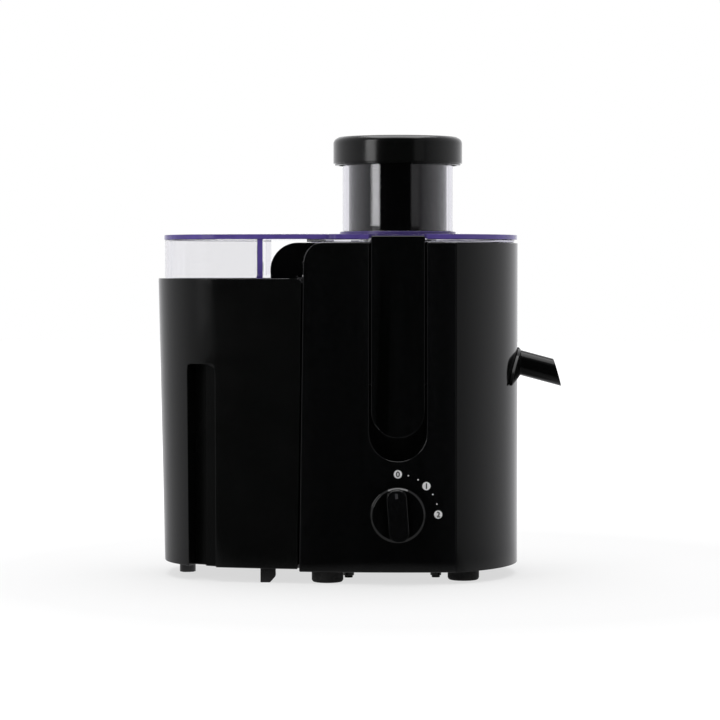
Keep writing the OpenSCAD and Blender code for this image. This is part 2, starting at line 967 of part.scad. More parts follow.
module armature() {
    color([0.45, 0.45, 0.47])
        translate([0, 0, stator_low])
            difference() {
                cylinder(r = armature_r, h = stator_top - stator_low);
                translate([0, 0, -1]) cylinder(r = shaft_r, h = 60);
                for (a = [0 : 30 : 330])
                    rotate(a) translate([16, -1, -1]) cube([4, 2, 60]);
            }
}

module armature_winding() {
    color([0.7, 0.35, 0.15])
        rotate_extrude()
            for (z = [stator_low - 8, stator_top])
                translate([shaft_r, z]) square([12, 8]);
}

module commutator() {
    color([0.75, 0.42, 0.2])
        translate([0, 0, stator_top + 8.5])
            difference() {
                cylinder(r = 10, h = 10);
                translate([0, 0, -1]) cylinder(r = shaft_r, h = 12);
                for (a = [15 : 30 : 345])
                    rotate(a) translate([8.6, -0.3, -1]) cube([3, 0.6, 12]);
            }
}

module cooling_fan() {
    color([0.2, 0.2, 0.22])
        difference() {
            union() {
                translate([0, 0, 28]) cylinder(r = 28, h = 1.5);
                translate([0, 0, 18]) cylinder(r = 8, h = 11);
                for (a = [0 : 40 : 320])
                    rotate(a) translate([7, -0.7, 19]) cube([20, 1.4, 9.5]);
            }
            translate([0, 0, 17]) cylinder(r = shaft_r, h = 14);
        }
}

module stator() {
    color([0.5, 0.5, 0.52])
        translate([0, 0, stator_low])
            linear_extrude(stator_top - stator_low)
                union() {
                    difference() {
                        circle(r = stator_r);
                        circle(r = 26.5);
                    }
                    // two pole shoes, front and back
                    intersection() {
                        difference() {
                            circle(r = 27);
                            circle(r = 18.8);
                        }
                        polygon([[-22, -30], [22, -30], [0, 0], [22, 30], [-22, 30], [0, 0]]);
                    }
                }
}

module field_coils() {
    color([0.72, 0.38, 0.18])
        for (a = [-38, 142])
            rotate(a)
                rotate_extrude(angle = 76)
                    translate([20, stator_low - 5]) square([6, stator_top - stator_low + 10]);
}

module motor_ears(low, high, hole_r) {
    difference() {
        union() {
            translate([0, 0, low]) cylinder(r = 15, h = high - low);
            for (a = [45, 135])
                rotate(a) translate([-ear_r, -6, low]) cube([2 * ear_r, 12, high - low]);
            motor_corners(low) cylinder(r = 6, h = high - low);
        }
        motor_corners(low - 1) cylinder(r = hole_r, h = high - low + 2);
    }
}

module stator_legs(low, high) {
    for (a = [45 : 90 : 315])
        rotate(a) translate([28, -4, low]) cube([3.5, 8, high - low]);
}

module upper_bracket() {
    color([0.6, 0.6, 0.62])
        difference() {
            union() {
                motor_ears(ear_low, ear_low + ear_t, 2.2);
                translate([0, 0, upper_bearing_z - 1.5]) cylinder(r = bearing_r + 3, h = 10);
                // legs that hold the stator
                stator_legs(stator_top, ear_low + 1);
            }
            translate([0, 0, upper_bearing_z - 2.5]) cylinder(r = bearing_r, h = 12);
        }
}

module lower_bracket() {
    color([0.6, 0.6, 0.62])
        difference() {
            union() {
                for (a = [45, 135])
                    rotate(a) translate([-31.5, -6, lower_arm_z]) cube([63, 12, 3]);
                translate([0, 0, lower_bearing_z - 0.5]) cylinder(r = bearing_r + 3, h = 8);
                stator_legs(lower_arm_z, stator_low);
            }
            translate([0, 0, lower_bearing_z - 1.5]) cylinder(r = bearing_r, h = 12);
        }
}

module bearing(low) {
    color([0.65, 0.55, 0.35])
        translate([0, 0, low])
            difference() {
                cylinder(r = bearing_r, h = 7);
                translate([0, 0, -1]) cylinder(r = shaft_r + 0.03, h = 9);
            }
}

module upper_bearing() {
    bearing(upper_bearing_z);
}

module lower_bearing() {
    bearing(lower_bearing_z);
}

module brush_holders() {
    color([0.75, 0.6, 0.25])
        for (a = [0, 180])
            rotate(a)
                difference() {
                    translate([12, -5, brush_z]) cube([20, 10, 9]);
                    translate([11, -3.5, brush_z + 1.5]) cube([18, 7, 6]);
                }
}

module carbon_brushes() {
    color([0.15, 0.15, 0.15])
        for (a = [0, 180])
            rotate(a)
                translate([10.1, -3.4, brush_z + 1.6]) cube([16, 6.8, 5.8]);
}

module motor_dampers() {
    color([0.08, 0.08, 0.08])
        motor_corners(ear_low + ear_t)
            difference() {
                cylinder(r = 6, h = damper_t);
                translate([0, 0, -1]) cylinder(r = 2.2, h = damper_t + 2);
            }
}

module motor_screws() {
    color([0.6, 0.6, 0.62])
        motor_corners(0)
            union() {
                translate([0, 0, ear_low - 3]) cylinder(r = 4, h = 3);
                translate([0, 0, ear_low - eps]) cylinder(r = motor_screw_r, h = 19);
            }
}

module suppression_capacitor() {
    color([0.85, 0.65, 0.1])
        translate([-12, 56, 60]) cube([24, 9, 16]);
}

module cord_gland() {
    color([0.04, 0.04, 0.04])
        translate([0, front_y - wall - 3, cord_z])
            rotate([-90, 0, 0])
                difference() {
                    union() {
                        cylinder(r = 8.5, h = 2.9);
                        cylinder(r = 6.4, h = wall + 5);
                        translate([0, 0, wall + 3.1]) cylinder(r = 8.5, h = 3);
                    }
                    translate([0, 0, -1]) cylinder(r = 3.6, h = wall + 12);
                }
}

housing();
latch_pockets();
motor_deck();
front_panel();
base_plate();
rubber_feet();
base_screws();
latch_pins();
front_latch();
rear_latch();
speed_knob();
switch_shaft();
rotary_switch();
dial_marks();
interlock_switch();
interlock_plunger();
juice_spout();
pulp_container();
lid();
feed_chute();
pusher();
pusher_cap();
juice_bowl();
bowl_collar();
filter_basket();
cutter_disc();
basket_hub();
basket_rim();
drive_coupling();
shaft_seal();
motor_shaft();
armature();
armature_winding();
commutator();
cooling_fan();
stator();
field_coils();
upper_bracket();
lower_bracket();
upper_bearing();
lower_bearing();
brush_holders();
carbon_brushes();
motor_dampers();
motor_screws();
suppression_capacitor();
cord_gland();
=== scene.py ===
"""Looks of a compact centrifugal juicer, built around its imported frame.

Everything is in metres, in the row frame: X runs towards the spout, -Y is the front and Z is up.
"""

import json
import math

import bmesh
import bpy
from mathutils import Matrix, Vector
from mathutils.bvhtree import BVHTree


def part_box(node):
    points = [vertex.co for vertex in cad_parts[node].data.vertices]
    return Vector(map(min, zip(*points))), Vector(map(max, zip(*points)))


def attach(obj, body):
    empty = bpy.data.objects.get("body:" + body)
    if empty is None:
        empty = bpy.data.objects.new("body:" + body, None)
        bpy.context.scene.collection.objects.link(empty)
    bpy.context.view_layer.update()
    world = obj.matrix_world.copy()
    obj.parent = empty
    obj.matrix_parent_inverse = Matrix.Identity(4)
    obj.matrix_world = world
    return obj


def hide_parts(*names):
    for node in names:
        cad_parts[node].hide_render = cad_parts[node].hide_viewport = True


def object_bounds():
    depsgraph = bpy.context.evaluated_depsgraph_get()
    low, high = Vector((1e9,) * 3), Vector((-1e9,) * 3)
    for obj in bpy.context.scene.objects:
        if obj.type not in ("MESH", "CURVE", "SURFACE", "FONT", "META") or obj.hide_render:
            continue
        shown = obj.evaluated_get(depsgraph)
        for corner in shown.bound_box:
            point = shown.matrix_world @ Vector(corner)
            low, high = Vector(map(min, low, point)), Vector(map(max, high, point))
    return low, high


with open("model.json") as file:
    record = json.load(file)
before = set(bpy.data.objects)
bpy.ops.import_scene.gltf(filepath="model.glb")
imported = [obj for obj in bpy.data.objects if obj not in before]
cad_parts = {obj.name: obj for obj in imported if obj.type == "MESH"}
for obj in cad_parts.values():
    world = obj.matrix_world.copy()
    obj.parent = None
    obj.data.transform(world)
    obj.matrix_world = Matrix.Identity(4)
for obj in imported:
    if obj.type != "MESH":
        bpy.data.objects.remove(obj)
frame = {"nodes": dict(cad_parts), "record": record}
CAD_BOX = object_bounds()
MM = 0.001
WHITE = (1.0, 1.0, 1.0, 1.0)
BODY_OF = {
    node: body
    for body, nodes in frame["record"]["behaviour"]["bodies"].items()
    for node in nodes
}


# ---------------------------------------------------------------- nodes

WAVE_RATE = 20  # radians a metre of the wave texture at a scale of 1
FLAT_POINTINESS, EDGE_POINTINESS = 0.5, 0.56


class Nodes:
    """A node tree, built one node at a time."""

    def __init__(self, tree):
        self.tree = tree

    def put(self, value, socket):
        """Links the socket to value if that is an output, and else sets it as a constant."""
        if isinstance(value, bpy.types.NodeSocket):
            self.tree.links.new(value, socket)
        else:
            socket.default_value = value

    def add(self, kind, inputs=(), **settings):
        node = self.tree.nodes.new(kind)
        for key, value in settings.items():
            setattr(node, key, value)
        for socket, value in dict(inputs).items():
            self.put(value, node.inputs[socket])
        return node

    def remap(self, value, low, high, to_low, to_high):
        inputs = {
            "Value": value,
            "From Min": low,
            "From Max": high,
            "To Min": to_low,
            "To Max": to_high,
        }
        return self.add("ShaderNodeMapRange", inputs).outputs["Result"]

    def combine(self, one, other, operation="ADD"):
        return self.add("ShaderNodeMath", {0: one, 1: other}, operation=operation).outputs[0]

    def blend(self, factor, one, other):
        """Colour that runs from one to other as factor runs from 0 to 1."""
        return self.add("ShaderNodeMix", {0: factor, 6: one, 7: other}, data_type="RGBA").outputs[2]


class Shader(Nodes):
    """A material around a Principled surface."""

    def __init__(self, name):
        self.material = bpy.data.materials.new(name)
        self.material.use_nodes = True
        super().__init__(self.material.node_tree)
        self.surface = self.tree.nodes["Principled BSDF"]
        self.output = self.tree.nodes["Material Output"]
        self.place = self.add("ShaderNodeTexCoord").outputs["Object"]

    def set(self, **values):
        """Constants on the surface's own sockets, such as coat_weight=0.5."""
        for name, value in values.items():
            socket = self.surface.inputs[name.replace("_", " ").title().replace("Ior", "IOR")]
            socket.default_value = value

    def drive(self, socket, value):
        self.tree.links.new(value, self.surface.inputs[socket])

    def colour(self, factor, one, other):
        """Colours the surface from one to other, each red, green and blue."""
        self.drive("Base Color", self.blend(factor, (*one, 1.0), (*other, 1.0)))

    def noise(self, scale, detail=3.0, stretch=(1, 1, 1), distortion=0.0):
        """Noise from 0 to 1. scale is in cycles a metre, and stretch multiplies it by axis."""
        where = self.add("ShaderNodeMapping", {"Vector": self.place, "Scale": stretch})
        inputs = {
            "Vector": where.outputs[0],
            "Scale": scale,
            "Detail": detail,
            "Distortion": distortion,
        }
        return self.add("ShaderNodeTexNoise", inputs).outputs["Fac"]

    def waves(self, kind, period, distortion=0.0):
        """Soft BANDS up the Z axis or RINGS about it, one each period metres."""
        inputs = {
            "Vector": self.place,
            "Scale": 2 * math.pi / (WAVE_RATE * period),
            "Distortion": distortion,
        }
        along = {"bands_direction": "Z", "rings_direction": "Z"}
        return self.add("ShaderNodeTexWave", inputs, wave_type=kind, **along).outputs["Fac"]

    def worn_edges(self):
        """0 on faces and up to 1 along convex edges."""
        point = self.add("ShaderNodeNewGeometry").outputs["Pointiness"]
        return self.remap(point, FLAT_POINTINESS, EDGE_POINTINESS, 0.0, 1.0)

    def relief(self, height, strength, distance):
        """Adds a bump to the surface, whose height of 1 stands for distance metres."""
        inputs = {"Height": height, "Strength": strength, "Distance": distance}
        self.drive("Normal", self.add("ShaderNodeBump", inputs).outputs["Normal"])


# ---------------------------------------------------------------- materials


def gloss_black(name="gloss_black", level=0.5):
    """Piano-black moulding: faint orange peel, hairline scratches and wear along the edges."""
    s = Shader(name)
    wear = s.combine(s.worn_edges(), s.noise(240, 5), "MULTIPLY")
    s.colour(wear, (0.0006, 0.0008, 0.0007), (0.010, 0.010, 0.011))
    film = s.remap(s.noise(55, 6), 0.35, 0.75, 0.035, 0.085)
    hair = s.remap(s.noise(420, 2, stretch=(1, 1, 0.03), distortion=0.3), 0.66, 0.8, 0.0, 0.05)
    s.drive("Roughness", s.combine(film, hair))
    s.set(ior=1.5, specular_ior_level=level)
    s.relief(s.noise(160, 2), 0.05, 0.00004)
    return s.material


def satin_black(name="satin_black", rough=(0.3, 0.4), shade=0.0034, grain=0.12, level=0.5):
    """Spark-eroded black moulding with a fine grain. shade is its darkest red."""
    s = Shader(name)
    dark = (shade, shade * 1.15, shade * 1.08)
    dull = (shade * 1.9, shade * 2, shade * 1.95)
    s.colour(s.noise(35, 5), dark, dull)
    scuff = s.remap(s.noise(30, 7, distortion=0.6), 0.4, 0.7, *rough)
    s.drive("Roughness", s.combine(scuff, s.remap(s.worn_edges(), 0, 1, 0, -0.06)))
    s.set(ior=1.5, specular_ior_level=level)
    s.relief(s.noise(2600, 3), grain, 0.00003)
    return s.material


def clear_plastic():
    """Clear styrene, tinted violet, which shows only where the light runs far through it."""
    s = Shader("clear_plastic")
    s.set(base_color=WHITE, transmission_weight=1.0, ior=1.5)
    s.drive("Roughness", s.remap(s.noise(70, 6), 0.4, 0.8, 0.0, 0.04))
    s.relief(s.noise(45, 2, stretch=(1, 1, 0.4)), 0.05, 0.0001)
    tint = s.add("ShaderNodeVolumeAbsorption", {"Color": (0.22, 0.18, 0.42, 1.0), "Density": 22.0})
    s.put(tint.outputs[0], s.output.inputs["Volume"])
    return s.material


def black_rubber():
    """Matt rubber with a little dust."""
    s = Shader("black_rubber")
    dust = s.remap(s.noise(180, 8), 0.5, 0.8, 0.0, 0.5)
    s.colour(dust, (0.008, 0.008, 0.008), (0.03, 0.029, 0.027))
    s.drive("Roughness", s.remap(s.noise(600, 4), 0.3, 0.7, 0.6, 0.85))
    s.relief(s.noise(1800, 5), 0.35, 0.00008)
    return s.material


def metal(name, dark, light, rough, turned=None, brushed=(1, 1, 1), grain=700):
    """Bare metal: brushed along the axis whose stretch is small, or turned in rings."""
    s = Shader(name)
    streaks = s.noise(grain, 4, stretch=brushed)
    s.colour(streaks, dark, light)
    s.drive("Roughness", s.remap(s.noise(grain * 0.7, 6, stretch=brushed), 0.3, 0.7, *rough))
    s.set(metallic=1.0)
    s.relief(s.waves("RINGS", turned) if turned else streaks, 0.12, 0.00003)
    return s.material


def winding():
    """Enamelled copper wire, laid in turns."""
    s = Shader("copper")
    turns = s.waves("BANDS", 0.0009, distortion=0.25)
    s.colour(turns, (0.22, 0.06, 0.02), (0.75, 0.32, 0.12))
    s.drive("Roughness", s.remap(s.noise(300, 4), 0.3, 0.7, 0.22, 0.42))
    s.set(metallic=0.85, coat_weight=0.5, coat_roughness=0.15)
    s.relief(turns, 0.9, 0.0003)
    return s.material


def laminations():
    """A stack of thin iron sheets with a varnish."""
    s = Shader("motor_iron")
    sheets = s.waves("BANDS", 0.0011)
    s.colour(s.noise(120, 6), (0.16, 0.15, 0.15), (0.34, 0.33, 0.33))
    s.drive("Roughness", s.remap(s.noise(240, 5), 0.3, 0.7, 0.35, 0.6))
    s.set(metallic=0.9)
    s.relief(sheets, 0.7, 0.0002)
    return s.material


def moulded(name, dark, light, rough):
    """A coloured plastic or print with a little mottling and grain."""
    s = Shader(name)
    s.colour(s.noise(90, 6), dark, light)
    s.drive("Roughness", s.remap(s.noise(130, 5), 0.3, 0.7, *rough))
    s.relief(s.noise(1500, 3), 0.12, 0.00004)
    return s.material


STEEL_DARK, STEEL_LIGHT = (0.50, 0.51, 0.52), (0.72, 0.73, 0.74)
MATERIALS = {
    "gloss_black": gloss_black(),
    "pusher_black": gloss_black("pusher_black", 0.85),
    "spout_black": satin_black("spout_black", (0.14, 0.2), 0.002, 0.06, 0.2),
    # painted shade: a darker and less glossy copy of the container's black, for the flats inside
    # its grip
    "recess_painted_shade": satin_black("recess_painted_shade", (0.2, 0.28), 0.0018, 0.08, 0.12),
    "satin_black": satin_black(),
    "bin_black": satin_black("bin_black", (0.17, 0.25), 0.0021, 0.08),
    "housing_black": satin_black("housing_black", (0.10, 0.16), 0.0016, 0.05),
    "cap_black": satin_black("cap_black", (0.16, 0.24), 0.0022, 0.08),
    "black_steel": metal("black_steel", (0.006,) * 3, (0.02,) * 3, (0.35, 0.5)),
    "clear_plastic": clear_plastic(),
    "violet_edge": moulded("violet_edge", (0.06, 0.04, 0.19), (0.15, 0.105, 0.42), (0.12, 0.2)),
    "black_rubber": black_rubber(),
    "steel": metal("steel", STEEL_DARK, STEEL_LIGHT, (0.22, 0.38), brushed=(1, 1, 0.02)),
    "bright_steel": metal("bright_steel", STEEL_DARK, STEEL_LIGHT, (0.06, 0.16), turned=0.0008),
    "white_plastic": moulded("white_plastic", (0.70, 0.70, 0.67), (0.82, 0.82, 0.80), (0.35, 0.5)),
    "white_print": moulded("white_print", (0.80, 0.80, 0.80), (0.92, 0.92, 0.92), (0.4, 0.55)),
    "black_print": moulded("black_print", (0.004, 0.004, 0.004), (0.01, 0.01, 0.01), (0.4, 0.5)),
    "grey_print": moulded("grey_print", (0.03, 0.03, 0.034), (0.05, 0.05, 0.056), (0.4, 0.5)),
    "motor_iron": laminations(),
    "copper": winding(),
    "zinc": metal("zinc", (0.38, 0.38, 0.40), (0.58, 0.58, 0.60), (0.4, 0.6), grain=1400),
    "bronze": metal("bronze", (0.42, 0.27, 0.12), (0.62, 0.44, 0.22), (0.3, 0.5), grain=1600),
    "carbon": moulded("carbon", (0.02, 0.02, 0.021), (0.05, 0.05, 0.052), (0.55, 0.75)),
    "dark_plastic": moulded(
        "dark_plastic", (0.012, 0.012, 0.013), (0.03, 0.03, 0.032), (0.35, 0.5)
    ),
    "amber_plastic": moulded("amber_plastic", (0.42, 0.2, 0.03), (0.6, 0.33, 0.06), (0.15, 0.3)),
}


# ---------------------------------------------------------------- meshes

WELD = 0.001 * MM
FLAT_ANGLE = math.radians(0.2)
SHARP_ANGLE = math.radians(32)
EDGE_STEPS = 3
FLAT_WEIGHT = 80  # above 50, the wide faces lead the shading
STAND_OFF = 0.1  # how far in front of the object a ray starts

# Parts whose wide flats are cut into triangles, so that a hole in one survives the rounding.
CUT_FLATS = {
    "lid",
    "feed_chute",
    "pulp_container",
    "front_latch",
    "rear_latch",
    "juice_spout",
    "latch_pockets",
    "base_plate",
    "upper_bracket",
}


def mesh_of(shape):
    data = bpy.data.meshes.new("shape")
    shape.to_mesh(data)
    shape.free()
    return data


def new_piece(name, data, looks, body):
    """A piece on that body, with one slot of that material."""
    data.name = name
    piece = bpy.data.objects.new(name, data)
    bpy.context.scene.collection.objects.link(piece)
    data.materials.clear()
    data.materials.append(MATERIALS[looks])
    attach(piece, body)
    return piece


def clean_mesh(node):
    """The node's mesh with its corners joined and each flat face made one face."""
    shape = bmesh.new()
    shape.from_mesh(frame["nodes"][node].data)
    bmesh.ops.remove_doubles(shape, verts=shape.verts, dist=WELD)
    bmesh.ops.dissolve_limit(shape, angle_limit=FLAT_ANGLE, verts=shape.verts, edges=shape.edges)
    if node in CUT_FLATS:
        bmesh.ops.triangulate(shape, faces=[f for f in shape.faces if len(f.verts) > 4])
    return mesh_of(shape)


def finish_edges(piece, width, strong_flats=False):
    """Rounds the sharp edges to that width, and shades the flats flat and the rounds smooth."""
    piece.data.shade_smooth()
    if not width:
        piece.data.set_sharp_from_angle(angle=SHARP_ANGLE)
        return
    bevel = piece.modifiers.new("rounded_edges", "BEVEL")
    bevel.width = width
    bevel.segments = EDGE_STEPS
    bevel.limit_method = "ANGLE"
    bevel.angle_limit = SHARP_ANGLE
    bevel.use_clamp_overlap = False
    bevel.miter_outer = "MITER_ARC"
    weighted = piece.modifiers.new("even_shading", "WEIGHTED_NORMAL")
    weighted.keep_sharp = False
    weighted.weight = FLAT_WEIGHT
    if strong_flats:
        bevel.face_strength_mode = "FSTR_AFFECTED"
        weighted.use_face_influence = True


def refined(node, looks, width):
    """A rounded copy of a CAD node that stands for it."""
    piece = new_piece(node + "_skin", clean_mesh(node), looks, BODY_OF[node])
    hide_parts(node)
    finish_edges(piece, width, strong_flats=node in CUT_FLATS)
    return piece


def repaint(piece, looks, chosen):
    """Gives the faces for which chosen(face) holds another material."""
    piece.data.materials.append(MATERIALS[looks])
    for face in piece.data.polygons:
        if chosen(face):
            face.material_index = len(piece.data.materials) - 1


def as_sheet(piece, thickness):
    piece.modifiers.new("sheet", "SOLIDIFY").thickness = thickness


def surface_tree(node):
    data = frame["nodes"][node].data
    return BVHTree.FromPolygons(
        [v.co for v in data.vertices], [tuple(p.vertices) for p in data.polygons]
    )


def front_of(tree, x, z):
    """Y of the front of that surface at x, z."""
    hit = tree.ray_cast(Vector((x, CAD_BOX[0].y - STAND_OFF, z)), Vector((0, 1, 0)))
    return hit[0].y


# ---------------------------------------------------------------- CAD nodes

# Each node's material, the width of its edges' rounding in mm, and its slot if that differs.
PLAIN = {
    "housing": ("housing_black", 0.3, "satin_black"),
    "latch_pockets": ("housing_black", 0.4, "satin_black"),
    "motor_deck": ("satin_black", 0.4, None),
    "front_panel": ("gloss_black", 0.9, None),
    "front_latch": ("gloss_black", 0.9, None),
    "rear_latch": ("gloss_black", 0.9, None),
    "juice_spout": ("spout_black", 0.3, "gloss_black"),
    "pulp_container": ("bin_black", 0.5, "satin_black"),
    "lid": ("clear_plastic", 0.35, None),
    "feed_chute": ("clear_plastic", 0.5, None),
    "pusher": ("pusher_black", 0.4, "gloss_black"),
    "pusher_cap": ("cap_black", 0.2, "gloss_black"),
    "speed_knob": ("gloss_black", 0.4, None),
    "dial_marks": ("white_print", 0.0, None),
    "base_plate": ("satin_black", 0.4, None),
    "rubber_feet": ("black_rubber", 0.6, None),
    "juice_bowl": ("satin_black", 0.4, None),
    "bowl_collar": ("housing_black", 0.4, "satin_black"),
    "basket_rim": ("dark_plastic", 0.4, None),
    "basket_hub": ("dark_plastic", 0.0, None),
    "cutter_disc": ("bright_steel", 0.0, None),
    "drive_coupling": ("white_plastic", 0.3, None),
    "shaft_seal": ("black_rubber", 0.0, None),
    "latch_pins": ("black_steel", 0.2, "bright_steel"),
    "base_screws": ("black_steel", 0.0, "steel"),
    "switch_shaft": ("bright_steel", 0.0, None),
    "rotary_switch": ("dark_plastic", 0.3, None),
    "interlock_switch": ("dark_plastic", 0.4, None),
    "interlock_plunger": ("white_plastic", 0.2, None),
    "motor_shaft": ("bright_steel", 0.0, None),
    "armature": ("motor_iron", 0.0, None),
    "armature_winding": ("copper", 0.8, None),
    "commutator": ("copper", 0.0, None),
    "cooling_fan": ("dark_plastic", 0.2, None),
    "stator": ("motor_iron", 0.3, None),
    "field_coils": ("copper", 1.0, None),
    "upper_bracket": ("zinc", 0.3, None),
    "lower_bracket": ("zinc", 0.3, None),
    "upper_bearing": ("bronze", 0.0, None),
    "lower_bearing": ("bronze", 0.0, None),
    "brush_holders": ("bronze", 0.3, None),
    "carbon_brushes": ("carbon", 0.2, None),
    "motor_dampers": ("black_rubber", 0.3, None),
    "motor_screws": ("steel", 0.0, None),
    "suppression_capacitor": ("amber_plastic", 0.9, None),
    "cord_gland": ("black_rubber", 0.3, None),
}
skins = {
    node: refined(node, looks, width * MM) for node, (looks, width, slot) in PLAIN.items()
}


# ---------------------------------------------------------------- details

LID_PLATE = 3.7 * MM
FOOT_RING = 2.5 * MM
UNDER_PLATE = 4 * MM
POST_X = -0.1016
POST_Y = -0.055
UPRIGHT = 0.5  # the most that a rim's normal rises or falls
FACES_FRONT = -0.9
GRIP_FACES_LEFT, GRIP_FACES_FRONT = -0.3, -0.8
GRIP_FLAT_AREA = 0.7e-3
DIAL_DOT = 2.95 * MM
DIAL_TURNS = (0, 45, 90)
FIGURE_SIZE = 1.9 * DIAL_DOT
FIGURE_WEIGHT = 0.03 * FIGURE_SIZE
FIGURE_DEPTH = 0.06 * MM
FIGURE_LIFT = 0.13 * MM
BAR_TILT = math.radians(4)
POINTER_REACH = 14.5 * MM
POINTER_SIZE = (2.2 * MM, 0.5 * MM, 4.0 * MM)
POINTER_SINK = 0.2 * MM
POINTER_ROUND = 0.2 * MM
BASKET_FOOT_R = 46.9 * MM
HOLE_COLUMNS, HOLE_ROWS = 110, 22
HOLE_SHARE = 0.62  # of a column's and a row's width
WALL_BORDER = 0.06  # of the wall's height, at each end
WALL_SHEET = 0.4 * MM
FLOOR_SHEET = 0.8 * MM
FLOOR_GAP = 0.2 * MM
FLOOR_SIDES = 128
HUB_R = 13.0 * MM


def violet_edges():
    """The clear parts look violet where they are seen edge on: rims, the foot ring and posts."""
    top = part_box("lid")[1].z
    plate_low = top - LID_PLATE

    def rim(face):
        x, y, z = face.center
        by_post = y < POST_Y and x > POST_X and z < plate_low - UNDER_PLATE
        on_post = by_post and face.normal.y < FACES_FRONT
        return abs(face.normal.z) < UPRIGHT and (z > plate_low or on_post)

    def foot_ring(face):
        return abs(face.normal.z) < UPRIGHT and top < face.center.z < top + FOOT_RING

    repaint(skins["lid"], "violet_edge", rim)
    repaint(skins["feed_chute"], "violet_edge", foot_ring)


def grip_recess():
    """The two flats inside the container's grip get painted shade: a darker, less glossy black than
    the container's, for the little light that comes past its edges.
    """
    middle = sum(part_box("pulp_container"), Vector()) / 2

    def inside(face):
        faces_out = face.normal.x < GRIP_FACES_LEFT and face.normal.y < GRIP_FACES_FRONT
        return faces_out and face.center.x < middle.x and face.area > GRIP_FLAT_AREA

    repaint(skins["pulp_container"], "recess_painted_shade", inside)


def figure_mesh(text):
    """A thin figure of the built-in font, centred on its own middle and facing -Y."""
    curve = bpy.data.curves.new("figure", "FONT")
    curve.body = text
    curve.size = FIGURE_SIZE
    curve.extrude = FIGURE_DEPTH / 2
    curve.offset = FIGURE_WEIGHT
    curve.resolution_u = 6
    holder = bpy.data.objects.new("figure", curve)
    data = bpy.data.meshes.new_from_object(holder)
    bpy.data.objects.remove(holder)
    corners = [v.co.copy() for v in data.vertices]
    middle = [(min(c[i] for c in corners) + max(c[i] for c in corners)) / 2 for i in range(3)]
    for vertex, corner in zip(data.vertices, corners):
        across, up, out = (corner[i] - middle[i] for i in range(3))
        vertex.co = (across, -out, up)
    return data


def dial_figures():
    """The numbers on the three round marks, in the order that the knob passes them."""
    panel = surface_tree("front_panel")
    knob = sum(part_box("speed_knob"), Vector()) / 2
    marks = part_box("dial_marks")
    reach = marks[1].z - knob.z - DIAL_DOT
    for figure, turn in enumerate(DIAL_TURNS):
        x = knob.x + reach * math.sin(math.radians(turn))
        z = knob.z + reach * math.cos(math.radians(turn))
        data = figure_mesh(str(figure))
        for vertex in data.vertices:
            vertex.co += Vector((x, front_of(panel, x, z) - FIGURE_LIFT, z))
        name = f"dial_figure_{figure}"
        new_piece(name, data, "black_print", BODY_OF["dial_marks"])


def knob_pointer():
    """A small raised mark at the upper end of the knob's bar."""
    low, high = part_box("speed_knob")
    centre = (low + high) / 2
    tilt = Matrix.Rotation(-BAR_TILT, 3, "Y")
    on_bar = Vector((centre.x, low.y + POINTER_SINK, centre.z))
    place = on_bar + tilt @ Vector((0, 0, POINTER_REACH))
    shape = bmesh.new()
    bmesh.ops.create_cube(shape, size=1.0)
    bmesh.ops.scale(shape, vec=POINTER_SIZE, verts=shape.verts)
    bmesh.ops.rotate(shape, cent=(0, 0, 0), matrix=tilt, verts=shape.verts)
    bmesh.ops.translate(shape, vec=place, verts=shape.verts)
    body = BODY_OF["speed_knob"]
    piece = new_piece("knob_pointer", mesh_of(shape), "grey_print", body)
    finish_edges(piece, POINTER_ROUND)


def basket_wall(low, high):
    """A cone with real holes in staggered rows between two plain borders."""
    top_r = (high.x - low.x) / 2
    rise = (BASKET_FOOT_R - top_r) / (low.z - high.z)
    row_h = (1 - 2 * WALL_BORDER) / HOLE_ROWS
    column_w = 2 * math.pi / HOLE_COLUMNS
    shape = bmesh.new()

    def corner(turn, up):
        z = low.z + up * (high.z - low.z)
        r = BASKET_FOOT_R + rise * (z - low.z)
        return shape.verts.new((r * math.cos(turn), r * math.sin(turn), z))

    rim = [(-1, -1), (0, -1), (1, -1), (1, 0), (1, 1), (0, 1), (-1, 1), (-1, 0)]
    for j in range(HOLE_ROWS):
        shift = 0.5 * (j % 2)
        for i in range(HOLE_COLUMNS):
            turn = (i + shift) * column_w
            up = WALL_BORDER + (j + 0.5) * row_h
            outer = [corner(turn + x * column_w / 2, up + y * row_h / 2) for x, y in rim]
            inner = []
            for x, y in rim:
                size = math.hypot(x, y) / HOLE_SHARE
                inner.append(corner(turn + x / size * column_w / 2, up + y / size * row_h / 2))
            for k in range(len(rim)):
                n = (k + 1) % len(rim)
                shape.faces.new((outer[k], outer[n], inner[n], inner[k]))
    for start, end in ((0.0, WALL_BORDER), (1 - WALL_BORDER, 1.0)):
        for i in range(2 * HOLE_COLUMNS):
            a, b = (i * column_w / 2, (i + 1) * column_w / 2)
            shape.faces.new((corner(a, start), corner(b, start), corner(b, end), corner(a, end)))
    bmesh.ops.remove_doubles(shape, verts=shape.verts, dist=0.01 * MM)
    piece = new_piece("basket_wall", mesh_of(shape), "steel", BODY_OF["filter_basket"])
    piece.data.shade_smooth()
    as_sheet(piece, WALL_SHEET)
    return piece


def basket_floor(low):
    """The flat ring between the wall's foot and the hub."""
    shape = bmesh.new()
    turns = [2 * math.pi * k / FLOOR_SIDES for k in range(FLOOR_SIDES)]
    z = low.z + FLOOR_SHEET
    outer, inner = (
        [shape.verts.new((r * math.cos(turn), r * math.sin(turn), z)) for turn in turns]
        for r in (BASKET_FOOT_R - FLOOR_GAP, HUB_R)
    )
    for k in range(FLOOR_SIDES):
        n = (k + 1) % FLOOR_SIDES
        shape.faces.new((outer[k], outer[n], inner[n], inner[k]))
    piece = new_piece("basket_floor", mesh_of(shape), "steel", BODY_OF["filter_basket"])
    as_sheet(piece, FLOOR_SHEET)
    return piece


def perforated_basket():
    low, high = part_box("filter_basket")
    wall = basket_wall(low, high)
    base = basket_floor(low)
    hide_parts("filter_basket")
    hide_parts("filter_basket")


violet_edges()
grip_recess()
dial_figures()
knob_pointer()
perforated_basket()


# ---------------------------------------------------------------- studio

